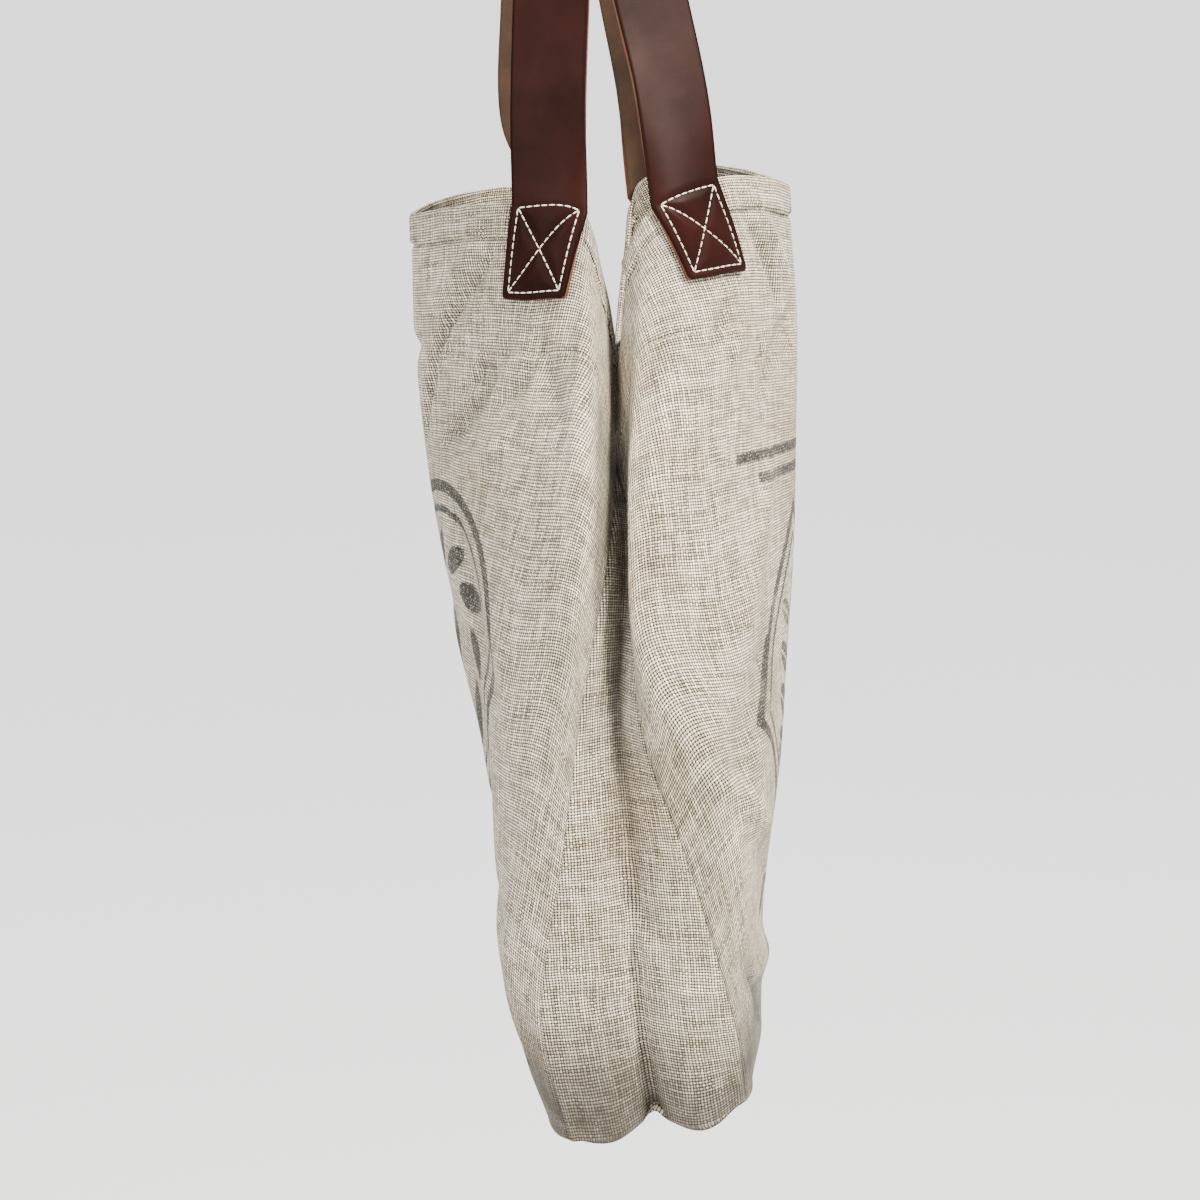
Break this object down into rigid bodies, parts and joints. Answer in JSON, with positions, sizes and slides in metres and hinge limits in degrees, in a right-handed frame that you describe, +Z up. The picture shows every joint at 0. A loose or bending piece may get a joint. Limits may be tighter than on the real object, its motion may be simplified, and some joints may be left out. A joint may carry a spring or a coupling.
{
  "type": "sacking tote bag",
  "caption": "Empty tote bag of worn coffee sacking with a pleated side strip, a cotton lining and leather straps sewn on the rim, hanging by its strap loops.",
  "frame": {"origin": "hang point: the inner face of the front strap's loop at its highest point, midway along the bag's width", "axes": "+X along the bag's width towards the narrow side that faces the camera, +Y from the front panel to the back panel, +Z up as it hangs"},
  "size_m": [0.402, 0.201, 0.7123],
  "materials": {
    "front_cloth": "matte plain-weave sacking, worn",
    "back_cloth": "matte plain-weave sacking, worn",
    "strip_cloth": "matte plain-weave sacking, worn",
    "lining_cotton": "matte blue cotton",
    "front_leather": "smooth red-brown leather, suede inside",
    "back_leather": "smooth red-brown leather, suede inside"
  },
  "bodies": {
    "root": {"front_panel": "front_cloth", "back_panel": "back_cloth", "gusset_strip": "strip_cloth", "lining": "lining_cotton", "front_strap": "front_leather", "back_strap": "back_leather"}
  },
  "joints": []
}
